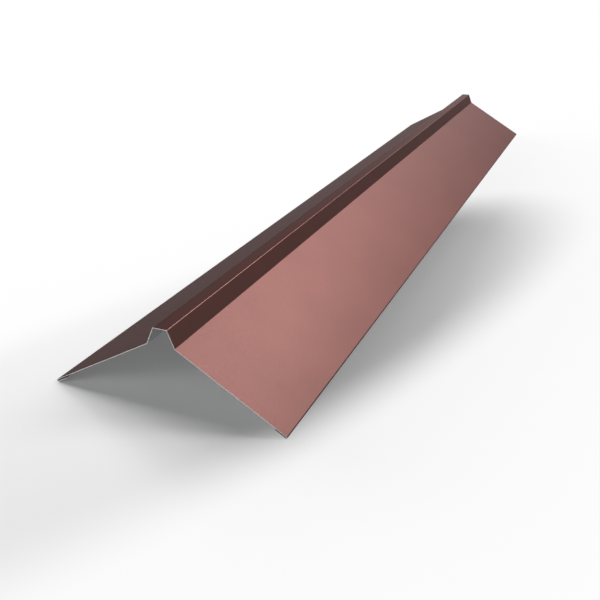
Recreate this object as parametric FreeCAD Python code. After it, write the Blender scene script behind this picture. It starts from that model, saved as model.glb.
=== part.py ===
"""Roof ridge cap: one strip of coated steel sheet, folded along its whole length.

The section is two wings at the pitch of the roof, a raised trapezoid rib along the
ridge line, and an open hem folded under each lower edge. The strip is walked from one
cut edge to the other, run by run and bend by bend, as a folding machine takes it. The
walk is to the right with the painted skin on its left, so the same walk gives both
skins at a constant thickness.

Frame: X across the ridge, Y along it, Z up. The origin is on the floor, under the
middle of the rib, halfway along the cap. All sizes are in millimetres.
"""

import FreeCAD, Part
import math
import os

from FreeCAD import Vector

# Driving dimensions, taken over the painted skin with its corners drawn sharp
cap_length = 2000.0
wing_width = 190.0
wing_slope_deg = 30.0
rib_top_width = 22.0
rib_base_width = 44.0
rib_height = 26.0
hem_return = 20.0

# The sheet and the tools that fold it
sheet_thickness = 0.7
bend_inside_radius = 1.0
hem_clear_gap = 2.5
neutral_line_share = 0.44

# Worked out from the driving dimensions
hem_inside_radius = hem_clear_gap / 2
hem_outside_radius = hem_inside_radius + sheet_thickness
rib_side_run_in = (rib_base_width - rib_top_width) / 2
rib_side_width = math.hypot(rib_side_run_in, rib_height)
rib_side_slope_deg = math.degrees(math.atan2(rib_height, rib_side_run_in))
rib_foot_turn_deg = rib_side_slope_deg - wing_slope_deg


def painted_radius(turn_deg, inside_radius):
    """Radius of the painted skin in a bend. A right turn bulges towards the paint."""
    if turn_deg < 0:
        return inside_radius + sheet_thickness
    return inside_radius


def set_back(turn_deg, inside_radius):
    """How far a bend starts before the sharp corner of the painted skin."""
    half_turn = math.radians(abs(turn_deg)) / 2
    return painted_radius(turn_deg, inside_radius) * math.tan(half_turn)


def folding_plan():
    """The strip's flats and bends in order, from the left cut edge to the right one.

    A flat is ("flat", length). A bend is ("bend", turn in degrees, inside radius),
    where a positive turn is to the left.
    """
    crown_bend = ("bend", -rib_side_slope_deg, bend_inside_radius)
    foot_bend = ("bend", rib_foot_turn_deg, bend_inside_radius)
    hem_fold = ("bend", -180.0, hem_inside_radius)
    crown_set_back = set_back(*crown_bend[1:])
    foot_set_back = set_back(*foot_bend[1:])

    hem = ("flat", hem_return - hem_outside_radius)
    wing = ("flat", wing_width - foot_set_back - hem_outside_radius)
    rib_side = ("flat", rib_side_width - foot_set_back - crown_set_back)
    rib_top = ("flat", rib_top_width - 2 * crown_set_back)

    left_half = [hem, hem_fold, wing, foot_bend, rib_side, crown_bend]
    return left_half + [rib_top] + left_half[::-1]


def across(heading_deg):
    """Unit vector across a heading, towards the painted skin."""
    angle = math.radians(heading_deg + 90)
    return Vector(math.cos(angle), 0, math.sin(angle))


def along(heading_deg):
    """Unit vector along a heading in the section's plane."""
    angle = math.radians(heading_deg)
    return Vector(math.cos(angle), 0, math.sin(angle))


def bend_arc(centre, first, middle, last, radius):
    """Arc about centre through three unit directions."""
    return Part.Arc(*(centre + way * radius for way in (first, middle, last))).toShape()


def walk_strip(plan, start_heading_deg):
    """Walks the plan and returns the edges of the painted skin and of the backing skin.

    The walk follows the painted skin. The backing skin is one thickness to the right.
    """
    painted, backing = [], []
    foot = Vector(0, 0, 0)
    heading = start_heading_deg
    for step in plan:
        if step[0] == "flat":
            inward = across(heading) * -sheet_thickness
            ahead = foot + along(heading) * step[1]
            painted.append(Part.LineSegment(foot, ahead).toShape())
            backing.append(Part.LineSegment(foot + inward, ahead + inward).toShape())
            foot = ahead
            continue
        _, turn, inside_radius = step
        side = 1 if turn > 0 else -1
        skin_radius = painted_radius(turn, inside_radius)
        back_radius = skin_radius + side * sheet_thickness
        centre = foot + across(heading) * (side * skin_radius)
        ways = [across(heading + turn * share) * -side for share in (0, 0.5, 1)]
        painted.append(bend_arc(centre, *ways, skin_radius))
        backing.append(bend_arc(centre, *ways, back_radius))
        foot = centre + ways[-1] * skin_radius
        heading += turn
    return painted, backing


def section_face():
    """Closed face of the folded sheet's section, wherever the walk began."""
    painted, backing = walk_strip(folding_plan(), 180 + wing_slope_deg)
    left_cut = Part.LineSegment(
        backing[0].Vertexes[0].Point, painted[0].Vertexes[0].Point
    ).toShape()
    right_cut = Part.LineSegment(
        painted[-1].Vertexes[-1].Point, backing[-1].Vertexes[-1].Point
    ).toShape()
    outline = Part.Wire(painted + [right_cut] + backing[::-1] + [left_cut])
    return Part.Face(outline)


def ridge_cap():
    """The section drawn out along Y, stood on its hems with the origin below the rib."""
    cap = section_face().extrude(Vector(0, cap_length, 0))
    box = cap.BoundBox
    middle_of_base = Vector(box.Center.x, box.Center.y, box.ZMin)
    cap.translate(middle_of_base * -1)
    return cap


def blank_width():
    """Width of the flat strip before folding."""
    width = 0.0
    for step in folding_plan():
        if step[0] == "flat":
            width += step[1]
        else:
            neutral_radius = step[2] + neutral_line_share * sheet_thickness
            width += math.radians(abs(step[1])) * neutral_radius
    return width


os.makedirs("parts", exist_ok=True)
cap = ridge_cap()
cap.exportStep("parts/ridge_cap.step")

print(f"solids {len(cap.Solids)}, faces {len(cap.Faces)}, valid {cap.isValid()}")
print(f"volume {cap.Volume / 1e3:.1f} cm3, blank width {blank_width():.1f} mm")
print(f"span {cap.BoundBox.XLength:.2f}, height {cap.BoundBox.ZLength:.2f} mm")
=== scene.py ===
import math

import bmesh
import bpy
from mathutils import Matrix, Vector


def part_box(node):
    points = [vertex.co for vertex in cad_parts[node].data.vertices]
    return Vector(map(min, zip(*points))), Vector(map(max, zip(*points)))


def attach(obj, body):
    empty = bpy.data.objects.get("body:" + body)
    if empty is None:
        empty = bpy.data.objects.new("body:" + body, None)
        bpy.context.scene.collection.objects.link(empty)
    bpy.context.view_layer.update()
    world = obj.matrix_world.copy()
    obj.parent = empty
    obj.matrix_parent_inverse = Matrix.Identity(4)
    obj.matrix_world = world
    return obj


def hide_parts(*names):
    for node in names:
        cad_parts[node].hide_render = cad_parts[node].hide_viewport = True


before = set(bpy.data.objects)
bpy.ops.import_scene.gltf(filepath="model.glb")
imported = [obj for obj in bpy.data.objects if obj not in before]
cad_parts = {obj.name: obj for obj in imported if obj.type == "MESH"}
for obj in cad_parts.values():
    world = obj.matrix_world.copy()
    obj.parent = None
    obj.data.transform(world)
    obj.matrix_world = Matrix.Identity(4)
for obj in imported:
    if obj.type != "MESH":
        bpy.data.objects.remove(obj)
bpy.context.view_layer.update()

# The cap's own sizes, in metres, over the painted skin with its corners drawn sharp
rib_top_width = 0.022
rib_base_width = 0.044
rib_height = 0.026
wing_slope = math.radians(30)
hem_return = 0.020
rib_run_in = (rib_base_width - rib_top_width) / 2
rib_side_slope = math.atan2(rib_height, rib_run_in)

# The sheet and how tightly it is folded
sheet_thickness = 0.0007
bend_inside_radius = 0.001
bend_outside_radius = bend_inside_radius + sheet_thickness
hem_clear_gap = 0.0025
hem_outside_radius = hem_clear_gap / 2 + sheet_thickness
crown_bend_segments = 12
foot_bend_segments = 8
hem_fold_segments = 18
sheared_edge_break = 0.00008
sharp_corner = math.radians(60)
smooth_up_to = math.radians(40)

# How near two places are when they count as one
fold_line_reach = 1e-5
double_reach = 1e-6

# The outer coat: a red-brown that drifts from one shade to the other
coat_shades = (0.069, 0.0303, 0.0266), (0.075, 0.0327, 0.0287)
coat_roughness = (0.46, 0.50)
coat_metal_share = 0.8
coat_gloss_level = 0.9
coat_edge_tint = (0.28, 0.26, 0.26)
orange_peel_height = 0.000004

# What the burnish adds to the coat's roughness, and where it ends, from a crown bend's centre
burnish = -0.18
burnish_reach = (0.0018, 0.0020)

# The backing coat inside and the steel of the sheared ends
backing_shades = (0.37, 0.40, 0.40), (0.43, 0.46, 0.46)
backing_roughness = (0.5, 0.58)
backing_gloss_level = 0.4
steel_shades = (0.66, 0.64, 0.63), (0.78, 0.76, 0.75)
steel_roughness = (0.45, 0.6)
steel_metal_share = 0.15

# The parts of a noise's range that its two shades are spread over
noise_middle = (0.3, 0.7)
grain_middle = (0.35, 0.65)

# The floor: matt in an oval pool round the near half of the cap, and white beyond it.
# Both edges are in half sizes of the pool, and the whites are shares of plain white.
floor_size = 60
floor_colour = (0.86, 0.86, 0.86)
pool_centre = (0.0, -0.76)
pool_half_size = (0.285, 1.065)
pool_turn = math.radians(-20)
pool_edge = (0.695, 1.13)
pool_white = 0.14
far_edge = (1.2, 3.0)
beyond_white = 0.86

# How far in from the cap's outline the floor beneath it starts to whiten
shade_inset = 0.03

# How far the lamps stand from the middle of the cap
lamp_distance = 5.0

# Where the cap lies, read from the frame
cap_low, cap_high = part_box("ridge_cap")
cap_length = cap_high.y - cap_low.y
half_span = cap_high.x
rib_top_z = cap_high.z


def deselect_all():
    """Nothing is selected, in object mode."""
    if bpy.context.object and bpy.context.object.mode != "OBJECT":
        bpy.ops.object.mode_set(mode="OBJECT")
    bpy.ops.object.select_all(action="DESELECT")


def select_edges(mesh_object, wanted):
    """In edit mode, selects only the lengthwise edges with a wanted middle, and counts them."""
    bpy.ops.mesh.select_mode(type="EDGE")
    bpy.ops.mesh.select_all(action="DESELECT")
    shape = bmesh.from_edit_mesh(mesh_object.data)
    found = 0
    for edge in shape.edges:
        ends = [vert.co for vert in edge.verts]
        lengthwise = abs(ends[0].y - ends[1].y) > cap_length / 2
        if lengthwise and wanted((ends[0] + ends[1]) / 2):
            edge.select_set(True)
            found += 1
    bmesh.update_edit_mesh(mesh_object.data)
    return found


def extrude_selected(move):
    """Draws the selected edge out into a new flat."""
    bpy.ops.mesh.extrude_region_move(TRANSFORM_OT_translate={"value": move})


def fold_line_near(place):
    """A test for the lengthwise edge at this place across the ridge and up."""
    return lambda middle: math.hypot(middle.x - place[0], middle.z - place[1]) < fold_line_reach


def make_ridge_cap():
    """The folded strip: one flat drawn out flat by flat, hemmed and bent, still without gauge."""
    foot_z = rib_top_z - rib_height
    fold_centre = Vector((half_span - hem_outside_radius, 0, hem_outside_radius))

    deselect_all()
    bpy.ops.mesh.primitive_plane_add(size=1, location=(0, 0, rib_top_z))
    cap = bpy.context.object
    cap.name = "folded_ridge_cap"
    bpy.ops.object.mode_set(mode="EDIT")
    bpy.ops.transform.resize(value=(rib_top_width, cap_length, 1))
    bpy.ops.object.mode_set(mode="OBJECT")
    bpy.ops.object.transform_apply(location=True, rotation=True, scale=True)
    bpy.ops.object.mode_set(mode="EDIT")

    for side in (-1, 1):
        outward = Vector((side * math.sin(wing_slope), 0, math.cos(wing_slope)))
        down_slope = Vector((side * math.cos(wing_slope), 0, -math.sin(wing_slope)))
        centre = Vector((side * fold_centre.x, 0, fold_centre.z))
        foot = Vector((side * rib_base_width / 2, 0, foot_z))
        select_edges(cap, fold_line_near((side * rib_top_width / 2, rib_top_z)))
        extrude_selected((side * rib_run_in, 0, -rib_height))
        extrude_selected(centre + outward * hem_outside_radius - foot)
        bpy.ops.mesh.spin(
            steps=hem_fold_segments,
            angle=math.pi,
            center=centre,
            axis=(0, -side, 0),
        )
        extrude_selected(-down_slope * (hem_return - hem_outside_radius))

    crown_places = [(side * rib_top_width / 2, rib_top_z) for side in (-1, 1)]
    foot_places = [(side * rib_base_width / 2, foot_z) for side in (-1, 1)]
    crown_set_back = bend_outside_radius * math.tan(rib_side_slope / 2)
    foot_set_back = bend_inside_radius * math.tan((rib_side_slope - wing_slope) / 2)
    bend_lines(cap, crown_places, crown_set_back, crown_bend_segments)
    bend_lines(cap, foot_places, foot_set_back, foot_bend_segments)
    face_paint_outwards(cap)
    bpy.ops.object.mode_set(mode="OBJECT")
    return cap


def bend_lines(cap, places, set_back, segments):
    """Rounds the sharp fold lines at these places into bends of their real radius."""
    tests = [fold_line_near(place) for place in places]
    found = select_edges(cap, lambda middle: any(test(middle) for test in tests))
    assert found == len(places), f"found {found} of {len(places)} fold lines"
    bpy.ops.mesh.bevel(
        offset_type="OFFSET",
        offset=set_back,
        segments=segments,
        profile=0.5,
        affect="EDGES",
    )


def face_paint_outwards(cap):
    """Merges doubles and turns every face so that its normal leaves the painted skin."""
    bpy.ops.mesh.select_all(action="SELECT")
    bpy.ops.mesh.remove_doubles(threshold=double_reach)
    bpy.ops.mesh.normals_make_consistent(inside=False)
    shape = bmesh.from_edit_mesh(cap.data)
    top = max(shape.faces, key=lambda face: face.calc_center_median().z)
    if top.normal.z < 0:
        bpy.ops.mesh.select_all(action="SELECT")
        bpy.ops.mesh.flip_normals()


def finish_modifier(mesh_object, kind, name, **settings):
    """Adds a modifier with these settings and applies it."""
    modifier = mesh_object.modifiers.new(name, kind)
    for setting, value in settings.items():
        setattr(modifier, setting, value)
    bpy.ops.object.modifier_apply(modifier=name)


def give_gauge(cap, paint, backing, edge_steel):
    """Thickens the painted skin inwards to the sheet's gauge, with a skin of its own colour."""
    for material in (paint, backing, edge_steel):
        cap.data.materials.append(material)
    deselect_all()
    cap.select_set(True)
    bpy.context.view_layer.objects.active = cap
    finish_modifier(
        cap,
        "SOLIDIFY",
        "gauge",
        thickness=sheet_thickness,
        offset=-1,
        use_even_offset=True,
        use_rim=True,
        material_offset=1,
        material_offset_rim=2,
    )
    finish_modifier(
        cap,
        "BEVEL",
        "sheared_corners",
        width=sheared_edge_break,
        segments=2,
        limit_method="ANGLE",
        angle_limit=sharp_corner,
    )
    bpy.ops.object.shade_smooth_by_angle(angle=smooth_up_to)
    finish_modifier(cap, "WEIGHTED_NORMAL", "true_flats", weight=50, keep_sharp=True)


def new_material(name):
    """A material with its node tree, its Principled shader and its coordinates."""
    material = bpy.data.materials.new(name)
    material.use_nodes = True
    nodes = material.node_tree.nodes
    shader = nodes["Principled BSDF"]
    place = nodes.new("ShaderNodeTexCoord")
    return material, material.node_tree, shader, place.outputs["Object"]


def noise(tree, place, waves_per_metre, detail):
    """Solid noise, finer with each step of detail."""
    node = tree.nodes.new("ShaderNodeTexNoise")
    node.inputs["Scale"].default_value = waves_per_metre
    node.inputs["Detail"].default_value = detail
    tree.links.new(place, node.inputs["Vector"])
    return node.outputs["Fac"]


def spread(tree, value, low, high, to_low, to_high):
    """Maps the part of a value from low to high onto another range."""
    node = tree.nodes.new("ShaderNodeMapRange")
    node.inputs["From Min"].default_value = low
    node.inputs["From Max"].default_value = high
    node.inputs["To Min"].default_value = to_low
    node.inputs["To Max"].default_value = to_high
    tree.links.new(value, node.inputs["Value"])
    return node.outputs["Result"]


def blend_colours(tree, share, first, second):
    """A colour that goes from first to second as share goes from 0 to 1."""
    node = tree.nodes.new("ShaderNodeMix")
    node.data_type = "RGBA"
    tree.links.new(share, node.inputs["Factor"])
    node.inputs["A"].default_value = (*first, 1)
    node.inputs["B"].default_value = (*second, 1)
    return node.outputs["Result"]


def bump(tree, shader, height, distance, strength):
    """Fine relief. The distance is its full height in metres."""
    node = tree.nodes.new("ShaderNodeBump")
    node.inputs["Distance"].default_value = distance
    node.inputs["Strength"].default_value = strength
    tree.links.new(height, node.inputs["Height"])
    tree.links.new(node.outputs["Normal"], shader.inputs["Normal"])


def coil_coat_paint():
    """Oxide red-brown metallic coil coat: low satin, darker seen aslant, with faint orange peel."""
    material, tree, shader, place = new_material("coil_coat_paint")
    cloud = noise(tree, place, waves_per_metre=9, detail=3)
    share = spread(tree, cloud, *noise_middle, 0, 1)
    tree.links.new(blend_colours(tree, share, *coat_shades), shader.inputs["Base Color"])
    film = noise(tree, place, waves_per_metre=420, detail=2)
    satin = spread(tree, film, *noise_middle, *coat_roughness)
    smoothed = add(tree, satin, crown_burnish(tree, place))
    tree.links.new(smoothed, shader.inputs["Roughness"])
    shader.inputs["Metallic"].default_value = coat_metal_share
    shader.inputs["Specular IOR Level"].default_value = coat_gloss_level
    shader.inputs["Specular Tint"].default_value = (*coat_edge_tint, 1)
    orange_peel = noise(tree, place, waves_per_metre=650, detail=1)
    bump(tree, shader, orange_peel, distance=orange_peel_height, strength=0.5)
    return material


def crown_burnish(tree, place):
    """How much smoother the coat is over the two crown bends, where the folding tool rubbed it."""
    parts = tree.nodes.new("ShaderNodeSeparateXYZ")
    tree.links.new(place, parts.inputs["Vector"])
    either_side = tree.nodes.new("ShaderNodeMath")
    either_side.operation = "ABSOLUTE"
    tree.links.new(parts.outputs["X"], either_side.inputs[0])
    section = tree.nodes.new("ShaderNodeCombineXYZ")
    tree.links.new(either_side.outputs["Value"], section.inputs["X"])
    tree.links.new(parts.outputs["Z"], section.inputs["Z"])
    from_centre = tree.nodes.new("ShaderNodeVectorMath")
    from_centre.operation = "DISTANCE"
    tree.links.new(section.outputs["Vector"], from_centre.inputs[0])
    from_centre.inputs[1].default_value = crown_bend_centre()
    return spread(tree, from_centre.outputs["Value"], *burnish_reach, burnish, 0)


def crown_bend_centre():
    """Centre of the right crown bend, in the section across the ridge."""
    return (
        rib_top_width / 2 - bend_outside_radius * math.tan(rib_side_slope / 2),
        0,
        rib_top_z - bend_outside_radius,
    )


def backing_coat():
    """Light grey epoxy backing coat, thin and matt."""
    material, tree, shader, place = new_material("backing_coat")
    cloud = noise(tree, place, waves_per_metre=30, detail=4)
    share = spread(tree, cloud, *noise_middle, 0, 1)
    tree.links.new(blend_colours(tree, share, *backing_shades), shader.inputs["Base Color"])
    film = noise(tree, place, waves_per_metre=500, detail=2)
    matt = spread(tree, film, *noise_middle, *backing_roughness)
    tree.links.new(matt, shader.inputs["Roughness"])
    shader.inputs["Specular IOR Level"].default_value = backing_gloss_level
    return material


def cut_steel():
    """Sheared edge of zinc-coated steel: pale and dull, with a fine grain."""
    material, tree, shader, place = new_material("cut_steel")
    grain = noise(tree, place, waves_per_metre=3000, detail=2)
    share = spread(tree, grain, *grain_middle, 0, 1)
    tree.links.new(blend_colours(tree, share, *steel_shades), shader.inputs["Base Color"])
    dull = spread(tree, grain, *grain_middle, *steel_roughness)
    tree.links.new(dull, shader.inputs["Roughness"])
    shader.inputs["Metallic"].default_value = steel_metal_share
    return material


def stage_floor():
    """Pale floor that keeps the cap's shadow near its lower edges and is plain white beyond."""
    deselect_all()
    bpy.ops.mesh.primitive_plane_add(size=floor_size, location=(0, 0, 0))
    floor = bpy.context.object
    floor.name = "studio_floor"
    material = bpy.data.materials.new("studio_floor")
    material.use_nodes = True
    tree = material.node_tree
    tree.nodes.clear()
    out = tree.nodes.new("ShaderNodeOutputMaterial")
    matt = tree.nodes.new("ShaderNodeBsdfDiffuse")
    matt.inputs["Color"].default_value = (*floor_colour, 1)
    white = tree.nodes.new("ShaderNodeEmission")
    white.inputs["Color"].default_value = (1, 1, 1, 1)
    mixer = tree.nodes.new("ShaderNodeMixShader")
    white_share = floor_whiteness(tree)
    share = multiply(tree, white_share, seen_by_eye_or_gloss(tree))
    tree.links.new(share, mixer.inputs["Fac"])
    tree.links.new(matt.outputs["BSDF"], mixer.inputs[1])
    tree.links.new(white.outputs["Emission"], mixer.inputs[2])
    tree.links.new(mixer.outputs["Shader"], out.inputs["Surface"])
    floor.data.materials.append(material)
    return floor


def floor_whiteness(tree):
    """How white the floor is: little in the pool and beneath the cap, and all beyond."""
    place = tree.nodes.new("ShaderNodeTexCoord")
    sides = tree.nodes.new("ShaderNodeVectorMath")
    sides.operation = "ABSOLUTE"
    tree.links.new(place.outputs["Object"], sides.inputs[0])
    parts = tree.nodes.new("ShaderNodeSeparateXYZ")
    tree.links.new(sides.outputs["Vector"], parts.inputs["Vector"])
    beside = spread(tree, parts.outputs["X"], half_span - shade_inset, half_span, 0, 1)
    beyond_end = spread(tree, parts.outputs["Y"], cap_high.y - shade_inset, cap_high.y, 0, 1)
    uncovered = arithmetic(tree, "MAXIMUM", beside, beyond_end)
    whitened = multiply(tree, away_from_pool(tree, place.outputs["Object"]), uncovered)
    return spread(tree, whitened, 0, 1, pool_white, 1 + pool_white)


def away_from_pool(tree, place):
    """How much whiter than the pool the floor is, by how far out of the oval it lies."""
    oval = tree.nodes.new("ShaderNodeMapping")
    oval.vector_type = "TEXTURE"
    oval.inputs["Location"].default_value = (*pool_centre, 0)
    oval.inputs["Rotation"].default_value = (0, 0, pool_turn)
    oval.inputs["Scale"].default_value = (*pool_half_size, 1)
    tree.links.new(place, oval.inputs["Vector"])
    away = tree.nodes.new("ShaderNodeVectorMath")
    away.operation = "LENGTH"
    tree.links.new(oval.outputs["Vector"], away.inputs[0])
    edge = spread(tree, away.outputs["Value"], *pool_edge, 0, beyond_white - pool_white)
    edge.node.interpolation_type = "SMOOTHSTEP"
    far = spread(tree, away.outputs["Value"], *far_edge, 0, 1 - beyond_white)
    return add(tree, edge, far)


def arithmetic(tree, operation, first, second):
    """One operation on two values."""
    node = tree.nodes.new("ShaderNodeMath")
    node.operation = operation
    tree.links.new(first, node.inputs[0])
    tree.links.new(second, node.inputs[1])
    return node.outputs["Value"]


def add(tree, first, second):
    """Two values added."""
    return arithmetic(tree, "ADD", first, second)


def multiply(tree, first, second):
    """Two values multiplied."""
    return arithmetic(tree, "MULTIPLY", first, second)


def seen_by_eye_or_gloss(tree):
    """One for a ray from the camera, from a gloss or through glass, and nought for the rest."""
    rays = tree.nodes.new("ShaderNodeLightPath")
    seen = arithmetic(tree, "MAXIMUM", rays.outputs["Is Camera Ray"], rays.outputs["Is Glossy Ray"])
    return arithmetic(tree, "MAXIMUM", seen, rays.outputs["Is Transmission Ray"])


def softbox(name, azimuth, elevation, width, share):
    """A square soft lamp, aimed at the cap from this far round from +X and this high.

    Its share is the part of plain light that it gives to a surface that faces it. Under
    plain light, a white surface renders white.
    """
    round_from_x = math.radians(azimuth)
    up = math.radians(elevation)
    level_way = math.cos(up) * lamp_distance
    data = bpy.data.lights.new(name, "AREA")
    data.shape = "SQUARE"
    data.size = width
    data.energy = share * math.pi * math.pi * lamp_distance**2
    lamp = bpy.data.objects.new(name, data)
    bpy.context.scene.collection.objects.link(lamp)
    lamp.location = (
        level_way * math.cos(round_from_x),
        level_way * math.sin(round_from_x),
        lamp_distance * math.sin(up),
    )
    lamp.rotation_euler = (-lamp.location).to_track_quat("-Z", "Y").to_euler()
    return lamp


def shine_on(lamps, receiver):
    """Keeps the light of these lamps to one object, as flags and screens do in a studio."""
    lit = bpy.data.collections.new("lit_" + receiver.name)
    lit.objects.link(receiver)
    for lamp in lamps:
        lamp.light_linking.receiver_collection = lit


def light_studio(cap, floor):
    """Softboxes behind the cap, a low fill before it, and others for the floor's shadow."""
    cap_lamps = [
        softbox("rear_right_softbox", azimuth=60, elevation=52, width=1.4, share=0.68),
        softbox("rear_softbox", azimuth=75, elevation=38, width=1.4, share=0.60),
        softbox("low_rear_softbox", azimuth=90, elevation=25, width=1.4, share=0.22),
        softbox("front_fill_softbox", azimuth=-80, elevation=12, width=1.4, share=0.38),
    ]
    floor_lamps = [
        softbox("left_floor_softbox", azimuth=180, elevation=15, width=2.0, share=1.69),
        softbox("rear_left_floor_softbox", azimuth=150, elevation=20, width=2.0, share=1.10),
        softbox("rear_right_floor_softbox", azimuth=30, elevation=40, width=2.0, share=0.40),
        softbox("front_left_floor_softbox", azimuth=-125, elevation=11, width=2.0, share=0.32),
    ]
    shine_on(cap_lamps, cap)
    shine_on(floor_lamps, floor)


def white_room():
    """A room that is white all round, to the eye and in a gloss, and gives no other light."""
    world = bpy.data.worlds.new("studio_room")
    world.use_nodes = True
    tree = world.node_tree
    room = tree.nodes["Background"]
    room.inputs["Color"].default_value = (1, 1, 1, 1)
    tree.links.new(seen_by_eye_or_gloss(tree), room.inputs["Strength"])
    world.cycles.sampling_method = "NONE"
    bpy.context.scene.world = world


def place_camera():
    """The photograph's own viewpoint: above the near right corner, looking along the ridge."""
    focal_pixels = 781.51
    picture_pixels = 600
    film_width = 36
    stand_point = (0.5206, -1.7889, 0.5857)
    turn_left = math.radians(23.947)
    tip_down = math.radians(24.240)
    data = bpy.data.cameras.new("camera")
    data.sensor_width = film_width
    data.lens = focal_pixels * film_width / picture_pixels
    data.shift_x = 0.0394
    data.clip_start = 0.05
    data.clip_end = 100
    camera = bpy.data.objects.new("camera", data)
    bpy.context.scene.collection.objects.link(camera)
    camera.location = stand_point
    camera.rotation_euler = (math.pi / 2 - tip_down, 0, turn_left)
    bpy.context.scene.camera = camera


cap = make_ridge_cap()
give_gauge(cap, coil_coat_paint(), backing_coat(), cut_steel())
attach(cap, "root")
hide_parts("ridge_cap")

light_studio(cap, stage_floor())
white_room()
place_camera()

scene = bpy.context.scene
scene.view_settings.view_transform = "Standard"
